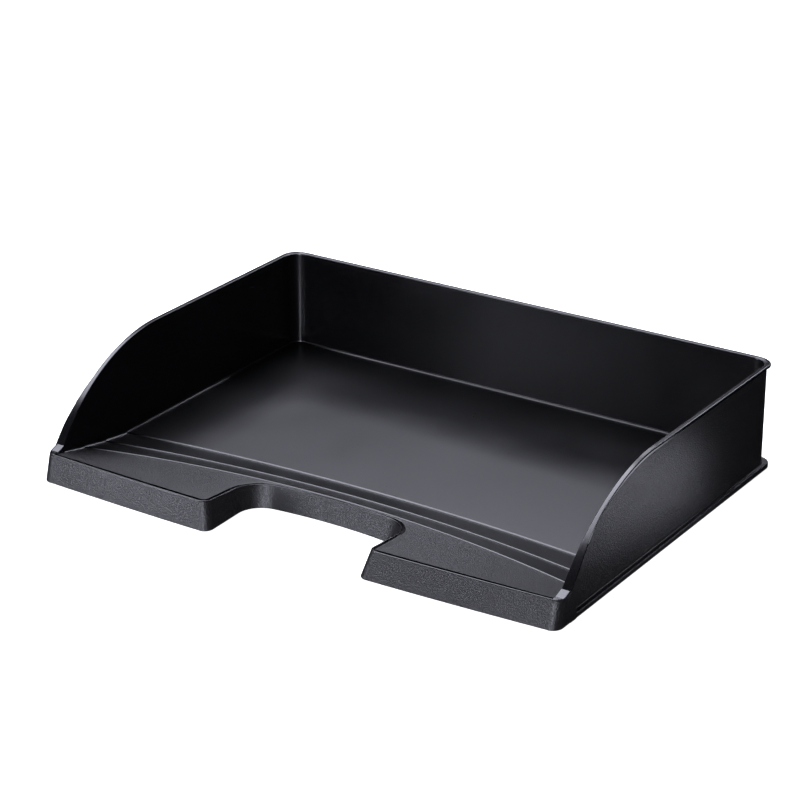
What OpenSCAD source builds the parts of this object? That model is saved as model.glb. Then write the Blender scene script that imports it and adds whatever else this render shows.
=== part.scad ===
// Letter tray for landscape A4 sheets: one black plastic moulding with three walls, a ramped front
// ledge and a thumb cut-out. Millimetres, +Z up, front towards -Y, origin at the middle of the base.
// The moulding is divided along its own creases and corners, so that each feature is a named solid.

/* [Overall] */
// Width over the base rails
tray_w = 363; // [340:1:390]
// Depth from the bow of the front face to the back rail
tray_d = 273; // [255:1:300]
// Height of the walls
tray_h = 70; // [62:1:85]

/* [Walls] */
// Distance from the base rail's outer face in to the wall's outer face
wall_inset = 2.7; // [2:0.1:4]
// Wall thickness at the top
wall_top = 1.8; // [1.5:0.1:2.6]
// Wall thickness at the floor
wall_foot = 3.7; // [2.8:0.1:4.5]
// Outer radius of the two rear corners of the walls
corner_r = 11; // [9:0.5:14]
// Radius of the curve that brings each side wall down to the ledge
swoop_r = 125; // [118:1:128]
// Distance from the front corner back to the start of that curve
swoop_start = 115; // [110:1:125]
// How far the rim stands out past the side walls
rim_out = 1.8; // [1:0.1:2]
// How far the rim stands out past the back wall
rim_back_out = 1.4; // [1:0.1:2]
// Height of the rim
rim_h = 2; // [1.5:0.1:3]
// Height of the base rail
rail_h = 3.5; // [3:0.1:5]

/* [Floor and ledge] */
// Height of the floor's upper face
floor_z = 6.1; // [5.5:0.1:7]
// Thickness of the floor, ramp and skirts
skin = 2.3; // [1.8:0.1:2.6]
// Height of the ledge at the front edge
ledge_z = 17.2; // [16:0.1:19]
// How far the front face bows forward by the time it reaches the cut-out
front_bow = 4.5; // [2:0.5:5]

/* [Thumb cut-out] */
// Width of the cut-out at the ledge
cut_w = 114; // [90:1:140]
// Distance from the front corners back to the rear of the cut-out
cut_d = 50.8; // [42:0.2:51]

/* [Hidden] */
$fn = 96;

half_w = tray_w / 2;
front_y = -tray_d / 2 + front_bow;
back_y = tray_d / 2;
wall_x = half_w - wall_inset;
wall_y = back_y - wall_inset;
in_x = wall_x - wall_foot;
in_y = wall_y - wall_foot;
draft = wall_foot - wall_top;
draft_z = 13.5;
in_r = corner_r - 3;
rim_x = wall_x + rim_out;
rim_y = wall_y + rim_back_out;
rail_r = 9;
lean = 0.27;
back_lean = 0.36;
block_y = front_y + 21;
foot_y = front_y + 14.5;
foot_front_y = front_y + 8.3;
foot_z = ledge_z + 2;
swoop_y = front_y + swoop_start;
swoop_z = tray_h - swoop_r;
rim_end_y = front_y + 61;
flare_rise = 0.077;
flare_run = 0.02;
flare_reach = wall_x + 5.48;

black = [0.07, 0.07, 0.08];
satin = [0.12, 0.12, 0.13];

// Square of the position across the tray, 1 at the base rails
function across(x) = (x / half_w) * (x / half_w);
function bowed(x, side, bow) = side + bow * (1 - across(x));

// The three creases of the ramp and the ledge's front edge: distance back and height at x
function crease_rear_y(x) = front_y + bowed(x, 74.6, 12.3);
function crease_mid_y(x) = front_y + bowed(x, 52.4, 17.4);
function crease_mid_z(x) = bowed(x, floor_z + 2, 0.7);
function crease_front_y(x) = front_y + bowed(x, 31.7, 20.4);
function crease_front_z(x) = bowed(x, floor_z + 5.3, 2.6);
function edge_y(x) =
  front_y + lean * ledge_z - front_bow * (1 - across(x)) / (1 - across(nose_x));

// Height of the ledge over any point, on straight lines from its front edge to the front crease
function along_ledge(x, y) = (y - edge_y(x)) / (crease_front_y(x) - edge_y(x));
function ledge_at(x, y) =
  ledge_z + (crease_front_z(x) - ledge_z) * min(max(along_ledge(x, y), 0), 1);

// Left half of the outline seen from above: [x, y, outward x, outward y, fall x, fall y], where fall
// is how the face below moves out for each step of lean; it runs diagonally round the nose
cut_x = cut_w / 2;
nose_r = 6;
nose_x = -cut_x - nose_r;
nose_y = edge_y(nose_x) + nose_r;
bay_r = 20;
bay_x = -cut_x + bay_r;
arch_r = 330;
arch_y = front_y + cut_d - arch_r;
bay_y = arch_y + sqrt(pow(arch_r - bay_r, 2) - bay_x * bay_x);
arch_angle = atan2(bay_y - arch_y, bay_x);

front_path = [
  for (i = [0:12]) let (x = -in_x + (in_x + nose_x) * i / 12)
    [x, edge_y(x), 0, -1, max(1 + (x - nose_x) / 20, 0), -1]
];
nose_path = [
  for (i = [1:8]) let (a = -90 + 90 * i / 8)
    [nose_x + nose_r * cos(a), nose_y + nose_r * sin(a), cos(a), sin(a), 1, -1]
];
side_path = [
  for (i = [1:4]) [-cut_x, nose_y + (bay_y - nose_y) * i / 4, 1, 0, 1, i / 4 - 1]
];
bay_path = [
  for (i = [1:10])
    let (a = 180 + (arch_angle - 180) * i / 10, f = 1 + (back_lean / lean - 1) * i / 10)
      [bay_x + bay_r * cos(a), bay_y + bay_r * sin(a), -cos(a), -sin(a), -f * cos(a), -f * sin(a)]
];
arch_path = [
  for (i = [1:6])
    let (a = arch_angle + (90 - arch_angle) * i / 6, f = back_lean / lean)
      [arch_r * cos(a), arch_y + arch_r * sin(a), -cos(a), -sin(a), -f * cos(a), -f * sin(a)]
];
left_path = concat(front_path, nose_path, side_path, bay_path, arch_path);
middle = len(left_path) - 1;
right_path = [
  for (i = [middle - 1:-1:0]) let (p = left_path[i]) [-p[0], p[1], -p[2], p[3], -p[4], p[5]]
];
path = concat(left_path, right_path);

front_end = 12;
nose_end = front_end + 8;
side_end = nose_end + 4;
bay_end = side_end + 10;
last = 2 * middle;

// Where on the front crease the ledge reaches back to from each point of the outline
flank = front_end - 2;
function reach_left(i) =
  i <= flank || i > bay_end ? path[i][0]
  : path[flank][0] + (path[bay_end][0] - path[flank][0]) * (i - flank) / (bay_end - flank);
function reach(i) = i <= middle ? reach_left(i) : -reach_left(last - i);

function ledge_section(i) =
  let (p = path[i], z = ledge_at(p[0], p[1]), q = reach(i), s = lean * skin)
  [
    [q, crease_front_y(q), crease_front_z(q)],
    [p[0], p[1], z],
    [p[0] + p[4] * s, p[1] + p[5] * s, z - skin],
    [q, crease_front_y(q), crease_front_z(q) - skin]
  ];

function skirt_section(i) =
  let (
    p = path[i],
    z = ledge_at(p[0], p[1]),
    s = lean * skin,
    b = lean * z,
    dx = p[2] * skin,
    dy = p[3] * skin,
    zi = ledge_at(p[0] + p[4] * s - dx, p[1] + p[5] * s - dy) - skin - 0.05
  )
  [
    [p[0] + p[4] * s, p[1] + p[5] * s, z - skin],
    [p[0] + p[4] * b, p[1] + p[5] * b, 0],
    [p[0] + p[4] * b - dx, p[1] + p[5] * b - dy, 0],
    [p[0] + p[4] * s - dx, p[1] + p[5] * s - dy, zi]
  ];

function band_x(i) = -in_x + 2 * in_x * i / 32;
function band_section(x, ya, za, yb, zb) =
  [[x, ya, za], [x, yb, zb], [x, yb, zb - skin], [x, ya, za - skin]];

// Solid through a row of four-cornered sections; each facet past the turn is the mirror of one before
module sections(rows, turn) {
  e = 4 * (len(rows) - 1);
  points = [for (r = rows) for (p = r) p];
  ends = [[0, 1, 2], [0, 2, 3], [e + 2, e + 1, e], [e + 3, e + 2, e]];
  sides = [
    for (i = [0:len(rows) - 2]) for (j = [0:3]) for (k = [0, 1])
      let (a = 4 * i + j, b = 4 * i + (j + 1) % 4)
      i < turn ? (k == 0 ? [a, a + 4, b] : [b, a + 4, b + 4])
      : (k == 0 ? [a, a + 4, b + 4] : [a, b + 4, b])
  ];
  polyhedron(points, concat(ends, sides), convexity = 8);
}

module mirrored(side) {
  if (side > 0) children();
  else mirror([1, 0, 0]) children();
}

module floor_panel() {
  color(satin)
    translate([0, 0, floor_z - skin])
      linear_extrude(skin)
        intersection() {
          polygon(concat(
            [for (i = [0:32]) [band_x(i), crease_rear_y(band_x(i))]],
            [[in_x, in_y], [-in_x, in_y]]
          ));
          union() {
            translate([-in_x, front_y]) square([2 * in_x, in_y - in_r - front_y]);
            translate([-in_x + in_r, front_y]) square([2 * (in_x - in_r), in_y - front_y]);
            for (s = [-1, 1]) translate([s * (in_x - in_r), in_y - in_r]) circle(in_r);
          }
        }
}

module ramp_band_rear() {
  color(satin)
    sections([
      for (i = [0:32]) let (x = band_x(i))
        band_section(x, crease_rear_y(x), floor_z, crease_mid_y(x), crease_mid_z(x))
    ], 16);
}

module ramp_band_front() {
  color(satin)
    sections([
      for (i = [0:32]) let (x = band_x(i))
        band_section(x, crease_mid_y(x), crease_mid_z(x), crease_front_y(x), crease_front_z(x))
    ], 16);
}

module ledge_side() {
  sections([for (i = [0:side_end]) ledge_section(i)], side_end);
}

module fascia() {
  sections([for (i = [0:nose_end]) skirt_section(i)], nose_end);
}

module cutout_side() {
  sections([for (i = [nose_end:side_end]) skirt_section(i)], side_end);
}

module ledge_left() {
  color(black) ledge_side();
}

module ledge_right() {
  color(black) mirror([1, 0, 0]) ledge_side();
}

module ledge_centre() {
  color(black)
    sections([for (i = [side_end:last - side_end]) ledge_section(i)], middle - side_end);
}

module fascia_left() {
  color(black) fascia();
}

module fascia_right() {
  color(black) mirror([1, 0, 0]) fascia();
}

module cutout_side_left() {
  color(black) cutout_side();
}

module cutout_side_right() {
  color(black) mirror([1, 0, 0]) cutout_side();
}

module cutout_back() {
  color(black)
    sections([for (i = [side_end:last - side_end]) skirt_section(i)], middle - side_end);
}

// Front corner of the base: leaning front face, rounded corner, and the foot of the side wall
module corner_block(side) {
  r = half_w - in_x;
  mirrored(side)
    intersection() {
      multmatrix([[1, 0, 0, 0], [0, 1, lean, 0], [0, 0, 1, 0], [0, 0, 0, 1]])
        linear_extrude(foot_z)
          union() {
            translate([in_x, front_y + r]) square([r, block_y - front_y]);
            intersection() {
              translate([in_x, front_y + r]) circle(r);
              translate([in_x, front_y]) square([r, r]);
            }
          }
      translate([in_x - 1, 0, 0])
        rotate([90, 0, 90])
          linear_extrude(r + 2)
            polygon([
              [front_y - 9, 0], [front_y - 9, ledge_z], [foot_front_y, ledge_z], [foot_y, foot_z],
              [block_y, foot_z], [block_y, 0]
            ]);
    }
}

module corner_block_left() {
  color(black) corner_block(-1);
}

module corner_block_right() {
  color(black) corner_block(1);
}

// Outline of a side wall seen from the side, drawn with y across and z up
module wall_profile() {
  end_y = in_y - in_r;
  difference() {
    union() {
      intersection() {
        translate([swoop_y, swoop_z]) circle(swoop_r, $fn = 360);
        translate([foot_y, 0]) square([swoop_y - foot_y, tray_h]);
      }
      translate([swoop_y, 0]) square([end_y - swoop_y, tray_h]);
    }
    translate([foot_y - 1, -1]) square([block_y - foot_y + 1, foot_z + 1]);
  }
}

module profile_slab(x, t) {
  translate([x, 0, 0])
    rotate([90, 0, 90])
      linear_extrude(t)
        wall_profile();
}

module side_wall(side) {
  depth = tray_d + 20;
  mirrored(side) {
    intersection() {
      profile_slab(in_x, wall_foot);
      translate([0, depth / 2, 0])
        rotate([90, 0, 0])
          linear_extrude(depth)
            polygon([
              [in_x, 0], [wall_x, 0], [wall_x, tray_h], [wall_x - wall_top, tray_h], [in_x, draft_z]
            ]);
    }
    // The outer face flares out to the base rail towards the front, above a groove
    intersection() {
      profile_slab(wall_x, wall_inset);
      multmatrix([
        [1, -flare_run, -flare_rise, -flare_run * (-front_y)], [0, 1, 0, 0], [0, 0, 1, 0], [0, 0, 0, 1]
      ])
        translate([0, front_y, 0]) cube([flare_reach, depth, tray_h]);
      translate([0, depth / 2, 0])
        rotate([90, 0, 0])
          linear_extrude(depth)
            polygon([
              [wall_x, rail_h + 1], [half_w, rail_h + 4.5], [half_w, tray_h], [wall_x, tray_h]
            ]);
    }
  }
}

module side_wall_left() {
  color(black) side_wall(-1);
}

module side_wall_right() {
  color(black) side_wall(1);
}

module back_wall() {
  run = 2 * (in_x - in_r);
  color(black)
    translate([-run / 2, 0, 0])
      rotate([90, 0, 90])
        linear_extrude(run)
          polygon([
            [in_y, 0], [wall_y, 0], [wall_y, tray_h], [wall_y - wall_top, tray_h], [in_y, draft_z]
          ]);
}

// Square with its far corner rounded
module rounded_square(x, y, r) {
  square([x, y - r]);
  square([x - r, y]);
  translate([x - r, y - r])
    intersection() {
      circle(r);
      square(r);
    }
}

// Rear corner with its stretch of rim and base rail
module rear_corner(side) {
  x = in_x - in_r;
  y = in_y - in_r;
  mirrored(side)
    translate([x, y, 0])
      difference() {
        union() {
          linear_extrude(tray_h) rounded_square(wall_x - x, wall_y - y, corner_r);
          linear_extrude(rail_h) rounded_square(half_w - x, back_y - y, rail_r);
          translate([0, 0, tray_h - rim_h])
            linear_extrude(rim_h) rounded_square(rim_x - x, rim_y - y, corner_r);
        }
        translate([0, 0, -1]) cylinder(h = draft_z + 1, r = in_r);
        translate([0, 0, draft_z])
          cylinder(h = tray_h - draft_z, r1 = in_r, r2 = in_r + draft);
      }
}

module rear_corner_left() {
  color(black) rear_corner(-1);
}

module rear_corner_right() {
  color(black) rear_corner(1);
}

module rim_side(side) {
  end_y = in_y - in_r;
  mirrored(side)
    intersection() {
      profile_slab(wall_x, rim_out);
      difference() {
        linear_extrude(tray_h + 1)
          polygon([
            [wall_x, rim_end_y], [wall_x + 0.6 * rim_out, rim_end_y + 14],
            [wall_x + rim_out, swoop_y], [wall_x + rim_out, end_y], [wall_x, end_y]
          ]);
        translate([0, 0, -rim_h]) profile_slab(wall_x - 1, rim_out + 2);
      }
    }
}

module rim_left() {
  color(black) rim_side(-1);
}

module rim_right() {
  color(black) rim_side(1);
}

module rim_back() {
  color(black)
    translate([in_r - in_x, wall_y, tray_h - rim_h])
      cube([2 * (in_x - in_r), rim_y - wall_y, rim_h]);
}

module base_rail_side(side) {
  mirrored(side)
    translate([wall_x, block_y, 0]) cube([wall_inset, in_y - in_r - block_y, rail_h]);
}

module base_rail_left() {
  color(black) base_rail_side(-1);
}

module base_rail_right() {
  color(black) base_rail_side(1);
}

module base_rail_back() {
  color(black)
    translate([in_r - in_x, wall_y, 0]) cube([2 * (in_x - in_r), wall_inset, rail_h]);
}

floor_panel();
ramp_band_rear();
ramp_band_front();
ledge_left();
ledge_centre();
ledge_right();
fascia_left();
fascia_right();
cutout_side_left();
cutout_back();
cutout_side_right();
corner_block_left();
corner_block_right();
side_wall_left();
side_wall_right();
back_wall();
rear_corner_left();
rear_corner_right();
rim_left();
rim_back();
rim_right();
base_rail_left();
base_rail_back();
base_rail_right();
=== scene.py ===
"""Letter tray: one black plastic moulding. Each piece below stands for one CAD node and carries the
fillets, steps, groove and grain that the plain CAD solids leave out. Lengths are in mm, and the
studio's in metres."""

import math
from collections import namedtuple

import bmesh
import bpy
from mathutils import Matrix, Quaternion, Vector


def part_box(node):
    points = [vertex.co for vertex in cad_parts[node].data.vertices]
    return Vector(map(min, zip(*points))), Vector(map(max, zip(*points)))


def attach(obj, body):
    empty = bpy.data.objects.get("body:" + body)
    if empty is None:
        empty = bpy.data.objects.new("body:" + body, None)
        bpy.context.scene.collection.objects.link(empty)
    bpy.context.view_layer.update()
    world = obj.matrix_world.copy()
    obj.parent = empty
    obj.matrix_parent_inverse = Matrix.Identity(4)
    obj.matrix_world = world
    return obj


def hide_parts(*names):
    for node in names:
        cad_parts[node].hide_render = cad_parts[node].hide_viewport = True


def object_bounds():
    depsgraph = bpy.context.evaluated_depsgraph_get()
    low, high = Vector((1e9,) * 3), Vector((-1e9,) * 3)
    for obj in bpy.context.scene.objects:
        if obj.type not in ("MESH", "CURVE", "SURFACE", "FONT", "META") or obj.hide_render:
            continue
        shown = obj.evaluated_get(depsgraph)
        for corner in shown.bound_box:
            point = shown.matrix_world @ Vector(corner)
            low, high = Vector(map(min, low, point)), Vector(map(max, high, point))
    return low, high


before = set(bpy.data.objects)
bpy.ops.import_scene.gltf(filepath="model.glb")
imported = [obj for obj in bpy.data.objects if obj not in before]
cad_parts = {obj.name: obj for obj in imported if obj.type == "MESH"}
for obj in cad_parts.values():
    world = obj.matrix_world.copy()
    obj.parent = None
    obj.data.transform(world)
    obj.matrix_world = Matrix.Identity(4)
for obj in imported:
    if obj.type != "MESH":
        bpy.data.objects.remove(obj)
cad_lo, cad_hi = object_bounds()


def box_mm(node):
    """Lowest and highest corner of a CAD node, in mm."""
    low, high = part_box(node)
    return low * 1000, high * 1000


# Main sizes, read from the CAD nodes
FLOOR_LO, FLOOR_HI = box_mm("floor_panel")
BACK_LO, BACK_HI = box_mm("back_wall")
RIM_HI = box_mm("rim_right")[1]
RIM_BACK_LO, RIM_BACK_HI = box_mm("rim_back")
RAIL_LO, RAIL_HI = box_mm("base_rail_right")
BLOCK_LO, BLOCK_HI = box_mm("corner_block_right")
LEDGE_HI = box_mm("ledge_left")[1]

HALF_W = RAIL_HI.x
BACK_Y = cad_hi.y * 1000
TRAY_H = BACK_HI.z
IN_X = FLOOR_HI.x
IN_Y = BACK_LO.y
WALL_X = RAIL_LO.x
WALL_Y = BACK_HI.y
FLOOR_Z = FLOOR_HI.z
SKIN = FLOOR_HI.z - FLOOR_LO.z
FRONT_Y = BLOCK_LO.y
BLOCK_Y = BLOCK_HI.y
LEDGE_Z = LEDGE_HI.z
CORNER_Y = RIM_HI.y
RIM_Z = RIM_BACK_LO.z
RIM_OUT = RIM_HI.x - WALL_X
RIM_BACK_OUT = RIM_BACK_HI.y - WALL_Y
RAIL_Z = RAIL_HI.z

# Shape values shared with the CAD source
SWOOP_Y = FRONT_Y + 115.0
SWOOP_R = 125.0
DRAFT_Z = 13.5
WALL_TOP = 1.8
LEAN = 0.27
BACK_LEAN = 0.36
FRONT_BOW = 4.5
FOOT_Y = FRONT_Y + 14.5
FOOT_FRONT_Y = FRONT_Y + 8.3
CUT_X = 57.0
CUT_D = 50.8
NOSE_R = 6.0
BAY_R = 20.0
ARCH_R = 330.0
IN_R = IN_Y - CORNER_Y
CORNER_X = IN_X - IN_R
OUT_R = 11.0
RAIL_CORNER_R = 9.0

# The outer wall flares out to the base rail: its reach at the foot of the front end, what that
# loses per mm backwards and upwards, how softly it starts and ends, and how long it fades out
FLARE = 5.48
FLARE_BACK = 0.02
FLARE_UP = 0.077
FLARE_SOFT = 0.06
FLARE_FADE = 30.0

# Creases of the ramp: distance behind the front at the walls and how much farther back in the
# middle, height over the floor at the walls and how much higher in the middle, then the rounding
# and the drop of the small step there
Crease = namedtuple("Crease", "behind bow height rise radius drop")
REAR = Crease(74.6, 12.3, 0.0, 0.0, 2.0, 0.7)
MID = Crease(52.4, 17.4, 2.0, 0.7, 1.2, 0.5)
FRONT = Crease(31.7, 20.4, 5.3, 2.6, 1.2, 0.5)

# Fillets of the visible surface
FOOT_R = 1.3
CROWN_R = 1.3
RIM_R = 1.4
RIM_BACK_R = 0.9
SWOOP_CROWN_R = 0.6
BLOCK_R = 1.3
SMALL_R = 0.4

# The rim keeps RIM_SLIM of its reach from RIM_SLIM_Y forward, and dies out between RIM_END_Y and
# RIM_FADE behind that
RIM_SLIM = 0.6
RIM_SLIM_Y = FRONT_Y + 75.0
RIM_END_Y = FRONT_Y + 34.0
RIM_FADE = 36.0

# Groove and lip along the edge of the ledge
GROOVE_W = 2.2
GROOVE_D = 1.0
LIP_W = 0.9
LIP_H = 0.3
LIP_ROOM = 4.2
LIP_LEAST = 0.31
GROOVE_LEAST = 0.42


def across(x):
    """0 in the middle of the tray, 1 at its sides."""
    return (x / HALF_W) ** 2


def crease(kind, x):
    """Where a crease runs at x, and how high."""
    middle = 1 - across(x)
    return FRONT_Y + kind.behind + kind.bow * middle, FLOOR_Z + kind.height + kind.rise * middle


def edge_y(x):
    """Front edge of the ledge, which bows forward in the middle."""
    bow = FRONT_BOW * (1 - across(x)) / (1 - across(CUT_X + NOSE_R))
    return FRONT_Y + LEAN * LEDGE_Z - bow


def ledge_z(x, y):
    """Height of the ledge, which starts one step below the front crease."""
    yc, zc = crease(FRONT, x)
    zc -= FRONT.drop
    k = (y - edge_y(x)) / (yc - edge_y(x))
    return LEDGE_Z + (zc - LEDGE_Z) * min(max(k, 0.0), 1.0)


def smooth(k):
    """0 to 1, easing in and out."""
    k = min(max(k, 0.0), 1.0)
    return k * k * (3 - 2 * k)


def wall_top(y):
    """Height of a side wall, which swoops down towards the front."""
    if y >= SWOOP_Y:
        return TRAY_H
    return TRAY_H - SWOOP_R + math.sqrt(SWOOP_R**2 - (y - SWOOP_Y) ** 2)


def inner_x(z):
    """Inner face of a side wall: upright at the foot, then drafted."""
    top = WALL_X - WALL_TOP
    return IN_X + (top - IN_X) * max(z - DRAFT_Z, 0) / (TRAY_H - DRAFT_Z)


def outer_x(y, z):
    """Outer face of a side wall: it flares out to the base rail towards the front."""
    span = HALF_W - WALL_X
    k = (FLARE - FLARE_BACK * (y - FRONT_Y) - FLARE_UP * z) / span
    low = 0.5 * (k + math.hypot(k, FLARE_SOFT)) if k < 1 else k
    eased = 1 - 0.5 * ((1 - low) + math.hypot(1 - low, FLARE_SOFT))
    fade = smooth((CORNER_Y - y) / FLARE_FADE)
    return WALL_X + span * min(max(eased, 0.0), 1.0) * fade


# Beside the walls each step is a short slope: this long, and from this far under the crease
STEP_RUN = 0.6
STEP_EASE = 0.05


def sheet_z(y):
    """Height of floor, ramp and ledge beside a side wall."""
    x = IN_X - FOOT_R
    knots = [(edge_y(x), LEDGE_Z)]
    for kind in (FRONT, MID, REAR):
        yc, zc = crease(kind, x)
        knots += [(yc, zc - kind.drop), (yc + STEP_RUN, zc - STEP_EASE)]
    knots.append((IN_Y, FLOOR_Z))
    for (ya, za), (yb, zb) in zip(knots, knots[1:]):
        if y <= yb:
            k = min(max((y - ya) / (yb - ya), 0.0), 1.0)
            return za + (zb - za) * k
    return FLOOR_Z


def rounded(corners):
    """Outline through corners (u, v, radius, steps); a corner with a radius becomes an arc."""
    out = []
    n = len(corners)
    for i, (u, v, r, steps) in enumerate(corners):
        if r <= 0:
            out.append((u, v))
            continue
        ax, ay = corners[i - 1][0] - u, corners[i - 1][1] - v
        bx, by = corners[(i + 1) % n][0] - u, corners[(i + 1) % n][1] - v
        la, lb = math.hypot(ax, ay), math.hypot(bx, by)
        if min(la, lb) < 1e-6:
            out += [(u, v)] * (steps + 1)
            continue
        ax, ay, bx, by = ax / la, ay / la, bx / lb, by / lb
        half = math.acos(min(max(ax * bx + ay * by, -0.999999), 0.999999)) / 2
        t = min(r / math.tan(half), la * 0.49, lb * 0.49)
        r = t * math.tan(half)
        mx, my = ax + bx, ay + by
        m = math.hypot(mx, my)
        cx, cy = u + mx / m * r / math.sin(half), v + my / m * r / math.sin(half)
        sx, sy = u + ax * t - cx, v + ay * t - cy
        turn = math.copysign(math.pi - 2 * half, by * ax - bx * ay) * -1
        for k in range(steps + 1):
            c, s = math.cos(turn * k / steps), math.sin(turn * k / steps)
            out.append((cx + c * sx - s * sy, cy + s * sx + c * sy))
    return out


def nosing(y, z, kind, rear_y, rear_z, steps=7):
    """Front edge of a step: the surface from the rear rounds over and drops to the next one."""
    radius, drop = kind.radius, kind.drop
    low = math.acos(1 - drop / radius)
    cy, cz = y + radius * math.sin(low), z - radius
    # Where the arc begins depends on the slope it meets, and the other way round: three rounds do
    start = 0.0
    for _ in range(3):
        py, pz = cy - radius * math.sin(start), cz + radius * math.cos(start)
        start = -math.atan2(pz - rear_z, rear_y - py)
    return [
        (cy - radius * math.sin(t), cz + radius * math.cos(t))
        for t in (start + (low - start) * k / steps for k in range(steps + 1))
    ]


def spread(start, end, count):
    """Evenly spaced values from start to end, count steps apart."""
    return [start + (end - start) * i / count for i in range(count + 1)]


FOOT_STEPS = 7


def foot_arc(inner, sheet):
    """Fillet between a flat sheet and the wall whose inner face stands at inner."""
    edge = inner - FOOT_R
    return [
        (edge + FOOT_R * math.sin(t), sheet + FOOT_R * (1 - math.cos(t)), 0, 0)
        for t in spread(0, math.pi / 2, FOOT_STEPS)
    ]


SHARP = math.radians(30)


def build(name, rows, paint, replaces, mirror=False):
    """A closed solid through rows of points. paint gives a material for each side of the outline."""
    sign = -1 if mirror else 1
    bm = bmesh.new()
    grid = [[bm.verts.new((sign * x / 1000, y / 1000, z / 1000)) for x, y, z in row] for row in rows]
    count = len(rows[0])
    for a, b in zip(grid, grid[1:]):
        for j in range(count):
            k = (j + 1) % count
            face = bm.faces.new((a[j], a[k], b[k], b[j]))
            face.material_index = paint(j) if callable(paint) else paint
    for row in (grid[0], grid[-1]):
        face = bm.faces.new(row)
        face.material_index = paint(0) if callable(paint) else paint
    bmesh.ops.remove_doubles(bm, verts=bm.verts, dist=2e-6)
    bmesh.ops.dissolve_degenerate(bm, edges=bm.edges, dist=1e-7)
    bmesh.ops.recalc_face_normals(bm, faces=bm.faces)
    for edge in bm.edges:
        edge.smooth = len(edge.link_faces) == 2 and edge.calc_face_angle(9) < SHARP
    for face in bm.faces:
        face.smooth = True
    mesh = bpy.data.meshes.new(name)
    bm.to_mesh(mesh)
    bm.free()
    for material in MATERIALS:
        mesh.materials.append(material)
    piece = bpy.data.objects.new(name, mesh)
    bpy.context.scene.collection.objects.link(piece)
    even = piece.modifiers.new("even_shading", "WEIGHTED_NORMAL")
    even.keep_sharp = True
    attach(piece, "root")
    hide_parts(*replaces)


# Materials


def plastic(name, colour, roughness, grain_mm, grain_depth, gloss_var):
    """Black moulded plastic: grain in colour, roughness and height, with faint handling marks."""
    material = bpy.data.materials.new(name)
    material.use_nodes = True
    tree = material.node_tree
    nodes, links = tree.nodes, tree.links
    shader = nodes["Principled BSDF"]
    place = nodes.new("ShaderNodeTexCoord")

    def noise(scale_mm, detail, seed):
        shift = nodes.new("ShaderNodeMapping")
        shift.inputs["Location"].default_value = (seed, seed * 0.37, seed * 0.71)
        node = nodes.new("ShaderNodeTexNoise")
        node.inputs["Scale"].default_value = 1000 / scale_mm
        node.inputs["Detail"].default_value = detail
        links.new(place.outputs["Object"], shift.inputs["Vector"])
        links.new(shift.outputs["Vector"], node.inputs["Vector"])
        return node.outputs["Fac"]

    def ranged(value, low, high, out_low, out_high):
        node = nodes.new("ShaderNodeMapRange")
        for key, number in zip(
            ("From Min", "From Max", "To Min", "To Max"), (low, high, out_low, out_high)
        ):
            node.inputs[key].default_value = number
        links.new(value, node.inputs["Value"])
        return node.outputs["Result"]

    def maths(operation, a, b):
        node = nodes.new("ShaderNodeMath")
        node.operation = operation
        for socket, value in zip(node.inputs, (a, b)):
            if isinstance(value, float):
                socket.default_value = value
            else:
                links.new(value, socket)
        return node.outputs["Value"]

    grain = noise(grain_mm, 2.0, 0.11)
    pores = noise(grain_mm * 1.9, 1.0, 0.53)
    marks = noise(55.0, 3.0, 0.29)
    relief = maths("ADD", grain, maths("MULTIPLY", pores, 0.35))

    tint = nodes.new("ShaderNodeMix")
    tint.data_type = "RGBA"
    tint.inputs["A"].default_value = (*[c * 0.72 for c in colour], 1)
    tint.inputs["B"].default_value = (*[c * 1.3 for c in colour], 1)
    links.new(ranged(relief, 0.43, 0.93, 0.0, 1.0), tint.inputs["Factor"])
    links.new(tint.outputs["Result"], shader.inputs["Base Color"])

    rough = maths(
        "ADD",
        ranged(relief, 0.4, 0.95, roughness - gloss_var, roughness + gloss_var),
        ranged(marks, 0.35, 0.65, -0.02, 0.03),
    )
    links.new(rough, shader.inputs["Roughness"])

    bump = nodes.new("ShaderNodeBump")
    bump.inputs["Strength"].default_value = 1.0
    bump.inputs["Distance"].default_value = grain_depth / 1000
    links.new(relief, bump.inputs["Height"])
    links.new(bump.outputs["Normal"], shader.inputs["Normal"])
    return material


GRAINED, SATIN, POLISHED = range(3)
MATERIALS = [
    plastic(
        "grained_plastic", (0.0050, 0.0050, 0.0056),
        roughness=0.40, grain_mm=0.8, grain_depth=0.30, gloss_var=0.11,
    ),
    plastic(
        "satin_plastic", (0.0016, 0.0016, 0.0020),
        roughness=0.31, grain_mm=0.9, grain_depth=0.014, gloss_var=0.02,
    ),
    plastic(
        "polished_plastic", (0.0016, 0.0016, 0.0020),
        roughness=0.22, grain_mm=0.9, grain_depth=0.004, gloss_var=0.01,
    ),
]


# Walls

GROOVE_END = 2.4


def wall_stations():
    """Positions along a side wall, closer together round the swoop, creases and groove end."""
    angle = math.asin((SWOOP_Y - FOOT_Y) / SWOOP_R)
    arc = [SWOOP_Y - SWOOP_R * math.sin(angle * (1 - k / 72)) for k in range(73)]
    groove = [BLOCK_Y + d for d in (0.0, 0.15, 0.5, 1.0, 1.6, GROOVE_END)]
    x = IN_X - FOOT_R
    steps = [crease(kind, x)[0] + d for kind in (FRONT, MID, REAR) for d in (0.0, STEP_RUN)]
    straight = spread(SWOOP_Y, CORNER_Y, 24)
    return sorted(set(round(y, 4) for y in arc + groove + steps + straight))


OUTER_STEPS = 10
CROWN_STEPS = 5
EDGE_STEPS = 6
GROOVE_Z = RAIL_Z + 1.0
MOUTH_LOOK_Z = 8.0
MOUTH_RISE = 3.5


def swoop_blend(y):
    """0 on the swoop, 1 on the straight top of a side wall."""
    return smooth((y - SWOOP_Y + 15) / 30)


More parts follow.
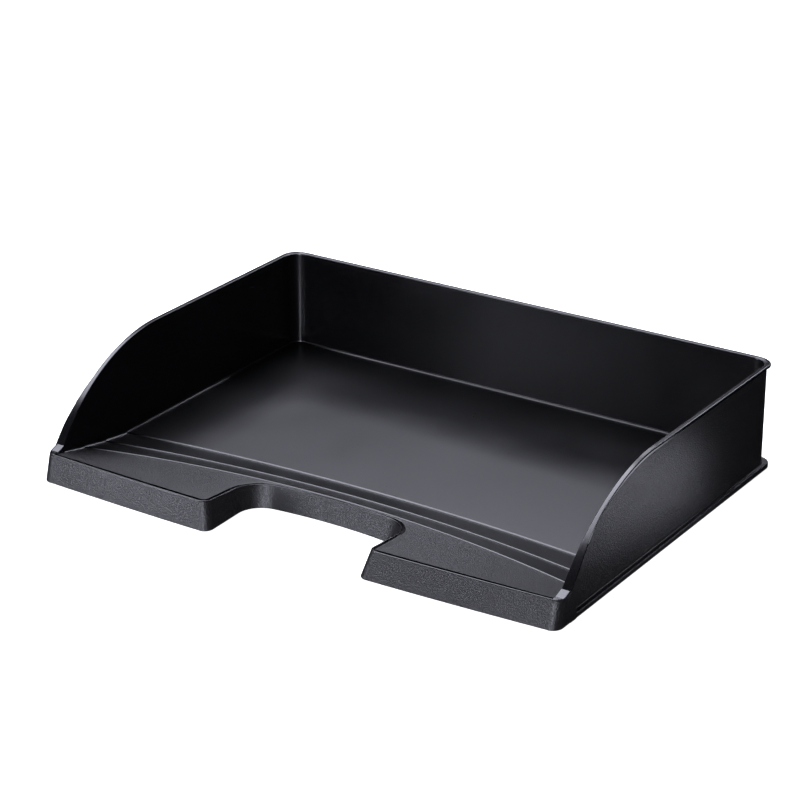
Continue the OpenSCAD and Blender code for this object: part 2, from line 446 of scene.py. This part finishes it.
def wall_section(y):
    """Outline of a side wall across the tray, for y along it, on the right-hand side. Above the
    base rail the wall is cut back to WALL_X by a groove, which starts behind the corner block."""
    top = wall_top(y)
    under = sheet_z(y) - SKIN
    edge = SWOOP_CROWN_R * (1 - smooth((y - RIM_END_Y) / RIM_FADE))
    crown = SWOOP_CROWN_R + (CROWN_R - SWOOP_CROWN_R) * swoop_blend(y)
    cut = smooth((y - BLOCK_Y) / GROOVE_END) ** 0.5
    mouth_x = outer_x(y, MOUTH_LOOK_Z)
    mouth_z = GROOVE_Z + (mouth_x - WALL_X) / (HALF_W - WALL_X) * MOUTH_RISE
    deep_x = mouth_x + (WALL_X - mouth_x) * cut
    corners = [(IN_X - FOOT_R, under, 0, 0)] + foot_arc(IN_X, sheet_z(y))
    corners += [
        (inner_x(top), top, crown, CROWN_STEPS),
        (outer_x(y, top), top, max(edge, 0.02), EDGE_STEPS),
    ]
    corners += [(outer_x(y, z), z, 0, 0) for z in spread(top, mouth_z, OUTER_STEPS)[1:-1]]
    corners += [
        (mouth_x, mouth_z, 0.45 * cut + 0.01, 3),
        (deep_x, GROOVE_Z, 0, 0),
        (deep_x, RAIL_Z * 0.5, 0, 0),
        (deep_x, 0, 0, 0),
        (IN_X, 0, SMALL_R, 2),
        (IN_X, under, 0, 0),
    ]
    return [(x, y, z) for x, z in rounded(corners)]


INNER_SIDES = FOOT_STEPS + 1
CROWN_SIDES = INNER_SIDES + CROWN_STEPS + 1 + EDGE_STEPS + 1


def wall_paint(j, top_end=CROWN_SIDES):
    """Satin inside up to the crown, polished on top, grained outside and below."""
    if j < INNER_SIDES:
        return SATIN
    return POLISHED if j < top_end else GRAINED


def side_wall(name, mirror):
    side = "left" if mirror else "right"
    rows = [wall_section(y) for y in wall_stations()]
    build(name, rows, wall_paint, ["side_wall_" + side], mirror)


def rim_reach(y):
    """How far the rim stands out past the wall; it thins down the swoop and dies into the flare."""
    if y >= SWOOP_Y:
        return RIM_OUT
    slim = RIM_SLIM * RIM_OUT
    if y >= RIM_SLIM_Y:
        return slim + (RIM_OUT - slim) * (y - RIM_SLIM_Y) / (SWOOP_Y - RIM_SLIM_Y)
    return slim * smooth((y - RIM_END_Y) / RIM_FADE)


RIM_ROOT = 0.5
RIM_LEAST = 0.03
RIM_TIP_H = 0.4


def rim_rows():
    """Sections of the rim from where it dies out at the front to the rear corner. Its root is
    inside the wall, and its top carries on from the wall's."""
    rows = []
    for y in [s for s in wall_stations() if s >= RIM_END_Y - 0.5]:
        top = wall_top(y)
        wall = outer_x(y, top)
        reach = max(rim_reach(y), wall - WALL_X + 0.02)
        k = min(rim_reach(y) / (RIM_SLIM * RIM_OUT), 1.0) * (1 - RIM_LEAST) + RIM_LEAST
        low = top - RIM_TIP_H - (TRAY_H - RIM_Z - RIM_TIP_H) * k
        edge = SWOOP_CROWN_R + (RIM_R - SWOOP_CROWN_R) * swoop_blend(y)
        outline = rounded([
            (WALL_X - RIM_ROOT, low, 0, 0),
            (WALL_X + reach, low, SMALL_R * k, 3),
            (WALL_X + reach, top, edge * k, 8),
            (wall - RIM_LEAST, top, 0, 0),
        ])
        rows.append([(x, y, z) for x, z in outline])
    return rows


def rail_outline():
    """Outline (x, z) of the base rail, on the right-hand side."""
    return rounded([
        (WALL_X, 0, 0, 0),
        (HALF_W, 0, 0.5, 4),
        (HALF_W, RAIL_Z, 0.7, 6),
        (WALL_X, RAIL_Z, 0.8, 6),
        (WALL_X, RAIL_Z + 2.0, 0, 0),
    ])


def corner_outline():
    """Whole outline of wall, rim and rail, as it goes round a rear corner."""
    top = TRAY_H
    return rounded(
        [(IN_X - FOOT_R, FLOOR_Z - SKIN, 0, 0)]
        + foot_arc(IN_X, FLOOR_Z)
        + [
            (inner_x(top), top, CROWN_R, CROWN_STEPS),
            (WALL_X + RIM_OUT, top, RIM_R, EDGE_STEPS),
            (WALL_X + RIM_OUT, RIM_Z, SMALL_R, 3),
            (WALL_X, RIM_Z, 0.3, 3),
            (WALL_X, RAIL_Z, 0.8, 6),
            (HALF_W, RAIL_Z, 0.7, 6),
            (HALF_W, 0, 0.5, 4),
            (IN_X, 0, SMALL_R, 2),
            (IN_X, FLOOR_Z - SKIN, 0, 0),
        ]
    )


def corner_radius(x, z):
    """Plan radius of the corner for a point of the outline."""
    if x <= WALL_X - WALL_TOP + 0.3:
        return x - CORNER_X
    if z < RAIL_Z + 1:
        out = min(max(x - WALL_X, 0) / (HALF_W - WALL_X), 1)
        return OUT_R + (RAIL_CORNER_R - OUT_R) * out
    return OUT_R * min((x - WALL_X + WALL_TOP) / WALL_TOP, 1)


# The corner's polish goes on round the lower edge of the rim
CORNER_CROWN_SIDES = CROWN_SIDES + 4


def rear_corner(name, mirror):
    """The outline swept round a rear corner, with a straight row before and after the turn."""
    side = "left" if mirror else "right"
    outline = corner_outline()
    rim_cut = RIM_OUT - RIM_BACK_OUT
    rows = []
    steps = 20
    for k in range(-1, steps + 2):
        turn = math.pi / 2 * min(max(k, 0), steps) / steps
        row = []
        for x, z in outline:
            a = x - CORNER_X
            r = min(corner_radius(x, z), a)
            if k < 0:
                u, v = a, 0.0
            elif k > steps:
                u, v = 0.0, a
            else:
                u, v = a - r + r * math.cos(turn), a - r + r * math.sin(turn)
            if z > RIM_Z - 0.1 and x > WALL_X:
                v *= 1 - rim_cut * (x - WALL_X) / RIM_OUT / a * math.sin(turn)
            row.append((CORNER_X + u, CORNER_Y + v, z))
        rows.append(row)

    def paint(j):
        return wall_paint(j, CORNER_CROWN_SIDES)

    nodes = ["rear_corner_" + side]
    build(name, rows, paint, nodes, mirror)


BACK_CROWN_SIDES = INNER_SIDES + CROWN_STEPS + 2


def back_rows(outline, shift=0.0):
    """The same outline (y, z) at steps from one rear corner to the other."""
    return [[(x, y + shift, z) for y, z in outline] for x in spread(-CORNER_X, CORNER_X, 24)]


def back_wall():
    """The rear wall with its rim and base rail."""
    wall = rounded(
        [(IN_Y - FOOT_R, FLOOR_Z - SKIN, 0, 0)]
        + foot_arc(IN_Y, FLOOR_Z)
        + [
            (WALL_Y - WALL_TOP, TRAY_H, CROWN_R, CROWN_STEPS),
            (WALL_Y, TRAY_H, 0, 0),
            (WALL_Y, 0, 0, 0),
            (IN_Y, 0, SMALL_R, 2),
            (IN_Y, FLOOR_Z - SKIN, 0, 0),
        ]
    )
    rim = rounded([
        (WALL_Y, RIM_Z, 0, 0),
        (WALL_Y + RIM_BACK_OUT, RIM_Z, SMALL_R, 3),
        (WALL_Y + RIM_BACK_OUT, TRAY_H, RIM_BACK_R, EDGE_STEPS),
        (WALL_Y, TRAY_H, 0, 0),
    ])

    def paint(j):
        return wall_paint(j, BACK_CROWN_SIDES)

    rail = back_rows(rail_outline(), BACK_Y - HALF_W)
    build("back_wall_piece", back_rows(wall), paint, ["back_wall"])
    build("rim_back_piece", back_rows(rim), POLISHED, ["rim_back"])
    build("base_rail_back_piece", rail, GRAINED, ["base_rail_back"])


# Floor and ramp

RAMP_STEPS = 96


def floor_rows():
    """Sections of the flat floor, from the rear crease back to the rear wall."""
    rows = []
    for x in spread(-IN_X, IN_X, RAMP_STEPS):
        y, z = crease(REAR, x)
        past = max(abs(x) - CORNER_X, 0)
        rear = IN_Y - IN_R + math.sqrt(max(IN_R**2 - past**2, 0))
        front = nosing(y, z, REAR, rear, z)
        outline = [(rear, z - SKIN), (rear, z)] + front + [(y, z - SKIN)]
        rows.append([(x, v, w) for v, w in outline])
    return rows


def band_rows(rear, fore):
    """Sections of a sloping band of the ramp between two creases."""
    rows = []
    for x in spread(-IN_X, IN_X, RAMP_STEPS):
        ya, za = crease(rear, x)
        yb, zb = crease(fore, x)
        za -= rear.drop
        front = nosing(yb, zb, fore, ya, za)
        outline = [(ya, za - SKIN + rear.drop), (ya, za)] + front + [(yb, zb - SKIN)]
        rows.append([(x, v, w) for v, w in outline])
    return rows


# Ledge, front face and thumb cut-out

FRONT_STEPS = 30
NOSE_STEPS = 16
SIDE_STEPS = 8
BAY_STEPS = 24
ARCH_STEPS = 20
FALL_TURN = 20.0


def outline_path():
    """Left half of the front outline seen from above: (x, y), the outward direction, and the fall,
    which is how the face below moves out for each step of lean (diagonally round the nose)."""
    nose_x = -CUT_X - NOSE_R
    nose_y = edge_y(nose_x) + NOSE_R
    bay_x = -CUT_X + BAY_R
    arch_y = FRONT_Y + CUT_D - ARCH_R
    bay_y = arch_y + math.sqrt((ARCH_R - BAY_R) ** 2 - bay_x**2)
    arch = math.atan2(bay_y - arch_y, bay_x)
    steep = BACK_LEAN / LEAN
    points = []
    for x in spread(-IN_X, nose_x, FRONT_STEPS):
        points.append((x, edge_y(x), 0.0, -1.0, max(1 + (x - nose_x) / FALL_TURN, 0), -1.0))
    for a in spread(-math.pi / 2, 0, NOSE_STEPS)[1:]:
        c, s = math.cos(a), math.sin(a)
        points.append((nose_x + NOSE_R * c, nose_y + NOSE_R * s, c, s, 1.0, -1.0))
    for t in spread(0, 1, SIDE_STEPS)[1:]:
        points.append((-CUT_X, nose_y + (bay_y - nose_y) * t, 1.0, 0.0, 1.0, t - 1))
    for t in spread(0, 1, BAY_STEPS)[1:]:
        a, f = math.pi + (arch - math.pi) * t, 1 + (steep - 1) * t
        c, s = math.cos(a), math.sin(a)
        points.append((bay_x + BAY_R * c, bay_y + BAY_R * s, -c, -s, -f * c, -f * s))
    for a in spread(arch, math.pi / 2, ARCH_STEPS)[1:]:
        c, s = math.cos(a), math.sin(a)
        points.append((ARCH_R * c, arch_y + ARCH_R * s, -c, -s, -steep * c, -steep * s))
    return points


FRONT_END = FRONT_STEPS
NOSE_END = FRONT_END + NOSE_STEPS
SIDE_END = NOSE_END + SIDE_STEPS
BAY_END = SIDE_END + BAY_STEPS
FLANK = FRONT_END - 5
PATH = outline_path()
MIDDLE = len(PATH) - 1


def reach_x(i):
    """Where on the front crease the ledge section through outline point i starts."""
    if i <= FLANK or i > BAY_END:
        return PATH[i][0]
    k = (i - FLANK) / (BAY_END - FLANK)
    return PATH[FLANK][0] + (PATH[BAY_END][0] - PATH[FLANK][0]) * k


def lip_scale(i):
    """The groove and lip narrow where the cut-out comes close to the front crease."""
    x, y, _, ny = PATH[i][:4]
    if i <= NOSE_END:
        return 1.0
    room = (crease(FRONT, x)[0] - y) * max(-ny, 0.35)
    return min(max(room / LIP_ROOM, LIP_LEAST), 1.0)


LEDGE_STEPS = 8


def ledge_section(i):
    """From the front crease to the groove; the ledge ends a little lower than the lip beyond."""
    x, y, nx, ny = PATH[i][:4]
    k = lip_scale(i)
    turned = smooth((i - FRONT_END) / (SIDE_END - FRONT_END))
    q = reach_x(i)
    qy, qz = crease(FRONT, q)
    qz -= FRONT.drop
    gap = GROOVE_W * max(k, GROOVE_LEAST) + LIP_W * k
    gx, gy = x - nx * gap, y - ny * gap
    top = ledge_z(x, y)
    row = [(q, qy, qz - SKIN + 0.3)]
    for t in spread(0, 1, LEDGE_STEPS):
        u, v = q + (gx - q) * t, qy + (gy - qy) * t
        row.append((u, v, ledge_z(u, v) - LIP_H * k * t * turned))
    for s, z in (
        (gap - 0.05 * k, row[-1][2] - GROOVE_D), (LIP_W * k, top - GROOVE_D), (LIP_W * k, top - SKIN)
    ):
        row.append((x - nx * s, y - ny * s, z))
    return row


def ledge_paint(j):
    """Grained up to the groove, which is polished."""
    return GRAINED if j < LEDGE_STEPS + 1 else POLISHED


def skirt_section(i):
    """Lip, leaning face and bottom edge of the front face or cut-out at outline point i."""
    x, y, nx, ny, fx, fy = PATH[i]
    k = lip_scale(i)
    top = ledge_z(x, y)
    wide = LIP_W * k
    under = top - SKIN - 0.4
    corners = [
        (-wide, 0, under, 0, 0),
        (-wide, 0, top, 0.28 * k, 4),
        (0, 0, top, 0.25 + 0.3 * k, 6),
    ]
    corners += [(0, LEAN * top * d, top * (1 - d), 0, 0) for d in (0.3, 0.6)]
    corners += [
        (0, LEAN * top, 0, 0.6, 5),
        (-SKIN, LEAN * top, 0, SMALL_R, 3),
        (-SKIN, LEAN * SKIN, under, 0, 0),
    ]
    outline = rounded([(s + d, z, r, steps) for s, d, z, r, steps in corners])
    row = []
    for s, z in outline:
        d = LEAN * max(top - z, 0)
        row.append((x + nx * (s - d) + fx * d, y + ny * (s - d) + fy * d, z))
    return row


LIP_SIDES = 12


def skirt_paint(j):
    """Polished lip over a grained face."""
    return POLISHED if j < LIP_SIDES else GRAINED


def halves(first, last, section):
    """Sections from one outline point to another and on to their mirror image."""
    left = [section(i) for i in range(first, last + 1)]
    right = [[(-x, y, z) for x, y, z in row] for row in left[-2::-1]]
    return left + right


BLOCK_FOOT_R = 0.5
BLOCK_FOOT_STEPS = 3
BLOCK_EDGE_STEPS = 6


def corner_block(name, mirror):
    """Front corner: the front face turns into the side, under the foot of the wall."""
    side = "left" if mirror else "right"
    radius = HALF_W - IN_X
    bow = FRONT_Y - (edge_y(IN_X) - LEAN * LEDGE_Z)
    cy = FRONT_Y + radius
    outer = [
        (IN_X + radius * math.sin(t), cy - (radius + bow * math.cos(t)) * math.cos(t), 1.0, cy)
        for t in spread(0, math.pi / 2, 20)
    ]
    outer += [
        (HALF_W, y, 1 - (y - cy) / (FOOT_Y - cy), y) for y in spread(cy, FOOT_Y, 8)[1:]
    ]

    def top_z(y):
        k = (y - FOOT_FRONT_Y) / (FOOT_Y - FOOT_FRONT_Y)
        return LEDGE_Z + (wall_top(FOOT_Y) - LEDGE_Z) * min(max(k, 0), 1)

    rows = []
    for x, y, w, inner_y in outer:
        lean = LEAN * w
        high = LEDGE_Z
        # The top slopes towards the wall, so the height of its edge is found in four rounds
        for _ in range(4):
            ex, ey, ix, iy = x, y + lean * high, IN_X, inner_y + lean * high
            span = math.hypot(ex - ix, ey - iy)
            dx, dy = (ex - ix) / span, (ey - iy) / span
            high = top_z(ey - dy * BLOCK_R)
        row = [(ix, inner_y, 0)]
        for t in spread(math.pi / 2, 0, BLOCK_FOOT_STEPS):
            drop, back = BLOCK_FOOT_R * (1 - math.sin(t)), BLOCK_FOOT_R * (1 - math.cos(t))
            row.append((x - dx * back, y - dy * back + lean * drop, drop))
        for t in spread(0, math.pi / 2, BLOCK_EDGE_STEPS):
            drop, back = BLOCK_R * (1 - math.sin(t)), BLOCK_R * (1 - math.cos(t))
            row.append((ex - dx * back, ey - dy * back - lean * drop, high - drop))
        px, py = row[-1][0], row[-1][1]
        for t in spread(0, 1, 8)[1:]:
            u, v = px + (ix - px) * t, py + (iy - py) * t
            row.append((u, v, top_z(v)))
        rows.append(row)

    def paint(j):
        return GRAINED if j < BLOCK_FOOT_STEPS + BLOCK_EDGE_STEPS else POLISHED

    nodes = ["corner_block_" + side]
    build(name, rows, paint, nodes, mirror)


# The pieces

for side, mirror in (("left", True), ("right", False)):
    side_wall("side_wall_%s_piece" % side, mirror)
    rear_corner("rear_corner_%s_piece" % side, mirror)
    corner_block("corner_block_%s_piece" % side, mirror)
    build("rim_%s_piece" % side, rim_rows(), POLISHED, ["rim_" + side], mirror)
    rail = [
        [(x, y, z) for x, z in rail_outline()] for y in spread(BLOCK_Y, CORNER_Y, 32)
    ]
    build(
        "base_rail_%s_piece" % side, rail, GRAINED, ["base_rail_" + side], mirror
    )
    # The outline path is the left half, so it is the right half that is mirrored from here on
    mirror = not mirror
    build(
        "ledge_%s_piece" % side, [ledge_section(i) for i in range(0, SIDE_END + 1)],
        ledge_paint, ["ledge_" + side], mirror,
    )
    build(
        "fascia_%s_piece" % side, [skirt_section(i) for i in range(0, NOSE_END + 1)],
        skirt_paint, ["fascia_" + side], mirror,
    )
    build(
        "cutout_side_%s_piece" % side,
        [skirt_section(i) for i in range(NOSE_END, SIDE_END + 1)],
        skirt_paint, ["cutout_side_" + side], mirror,
    )
back_wall()
build("floor_panel_piece", floor_rows(), SATIN, ["floor_panel"])
build("ramp_band_rear_piece", band_rows(REAR, MID), SATIN, ["ramp_band_rear"])
build("ramp_band_front_piece", band_rows(MID, FRONT), SATIN, ["ramp_band_front"])
build(
    "ledge_centre_piece", halves(SIDE_END, MIDDLE, ledge_section), ledge_paint,
    ["ledge_centre"],
)
build(
    "cutout_back_piece", halves(SIDE_END, MIDDLE, skirt_section), skirt_paint,
    ["cutout_back"],
)


# Studio: pale floor, soft lights and the camera


def stage_object(name, verts, faces, shade, emission):
    """Part of the plain surroundings. Gloss doesn't reflect it, so the tray mirrors the lights alone."""
    mesh = bpy.data.meshes.new(name)
    mesh.from_pydata(verts, [], faces)
    thing = bpy.data.objects.new(name, mesh)
    bpy.context.scene.collection.objects.link(thing)
    material = bpy.data.materials.new(name)
    material.use_nodes = True
    shader = material.node_tree.nodes["Principled BSDF"]
    shader.inputs["Base Color"].default_value = (shade, shade, shade, 1)
    shader.inputs["Roughness"].default_value = 0.9
    shader.inputs["Specular IOR Level"].default_value = 0.1
    shader.inputs["Emission Color"].default_value = (1, 1, 1, 1)
    shader.inputs["Emission Strength"].default_value = emission
    mesh.materials.append(material)
    thing.visible_glossy = False
    return thing


def studio_floor():
    """Pale floor, just under the tray's foot."""
    r, z = 6.0, -0.0003
    corners = [(-r, -r, z), (r, -r, z), (r, r, z), (-r, r, z)]
    stage_object("studio_floor", corners, [(0, 1, 2, 3)], shade=0.9, emission=0.96)


def studio_backdrop():
    """Pale wall all round, seen by the camera alone, so that it sheds no light on the tray."""
    r, count = 5.9, 48
    turn = [2 * math.pi * i / count for i in range(count)]
    verts = [(r * math.cos(t), r * math.sin(t), z) for z in (-0.01, 9.0) for t in turn]
    faces = [(i, (i + 1) % count, count + (i + 1) % count, count + i) for i in range(count)]
    wall = stage_object("studio_backdrop", verts, faces, shade=0.0, emission=1.0)
    wall.visible_diffuse = False
    wall.visible_shadow = False


COOL = (0.94, 0.95, 1.10)


def softbox(name, place, aim, width, height, watts):
    """Soft rectangular light that the camera doesn't see. Its width lies level."""
    data = bpy.data.lights.new(name, "AREA")
    data.shape = "RECTANGLE"
    data.size, data.size_y = width, height
    data.energy = watts
    data.color = COOL
    lamp = bpy.data.objects.new(name, data)
    bpy.context.scene.collection.objects.link(lamp)
    lamp.location = place
    lamp.visible_camera = False
    lamp.rotation_mode = "QUATERNION"
    lamp.rotation_quaternion = (Vector(aim) - Vector(place)).to_track_quat("-Z", "Y")


studio_floor()
studio_backdrop()
TRAY = (0, 0, 0.03)
RIGHT_CORNER = (0.17, -0.13, 0.01)
LEFT_FACE = (-0.085, -0.135, 0.01)
FRONT_FACE = (0.0, -0.135, 0.01)
RIGHT_WALL = (0.18, -0.008, 0.030)
softbox("softbox_key", (-0.72, 0.22, 1.32), TRAY, 1.45, 0.95, 35)
softbox("softbox_rear", (-0.89, 1.54, 1.29), TRAY, 0.7, 0.5, 4.7)
softbox("softbox_rear_right", (0.13, 1.84, 1.23), TRAY, 0.4, 0.4, 8.0)
softbox("softbox_right", (1.83, 0.66, 1.03), TRAY, 0.75, 0.75, 1.6)
softbox("softbox_front_left", (-1.52, -1.52, 0.46), TRAY, 0.55, 0.55, 4.2)
softbox("softbox_front", (0.337, -1.287, 0.186), RIGHT_CORNER, 0.25, 0.25, 14)
softbox("strip_left", (-0.37, -0.545, 0.06), LEFT_FACE, 0.16, 0.1, 1.3)
softbox("strip_right", (0.245, 0.024, 0.017), RIGHT_WALL, 0.12, 0.028, 0.031)
softbox("strip_front", (-0.30, -0.95, 0.05), FRONT_FACE, 0.4, 0.12, 0.1)

world = bpy.data.worlds.new("studio")
world.use_nodes = True
world.node_tree.nodes["Background"].inputs["Color"].default_value = (1, 1, 1, 1)
world.node_tree.nodes["Background"].inputs["Strength"].default_value = 0.0
bpy.context.scene.world = world
bpy.context.scene.view_settings.view_transform = "Standard"

camera = bpy.data.objects.new("camera", bpy.data.cameras.new("camera"))
bpy.context.scene.collection.objects.link(camera)
camera.data.sensor_width = 36
camera.data.lens = 123.17
YAW, PITCH, ROLL = 0.5724, -0.4014, 0.0044
camera.location = (0.8264, -1.2924, 0.7002)
forward = Vector((
    -math.sin(YAW) * math.cos(PITCH), math.cos(YAW) * math.cos(PITCH), math.sin(PITCH)
))
camera.rotation_mode = "QUATERNION"
camera.rotation_quaternion = forward.to_track_quat("-Z", "Y") @ Quaternion((0, 0, 1), ROLL)
bpy.context.scene.camera = camera
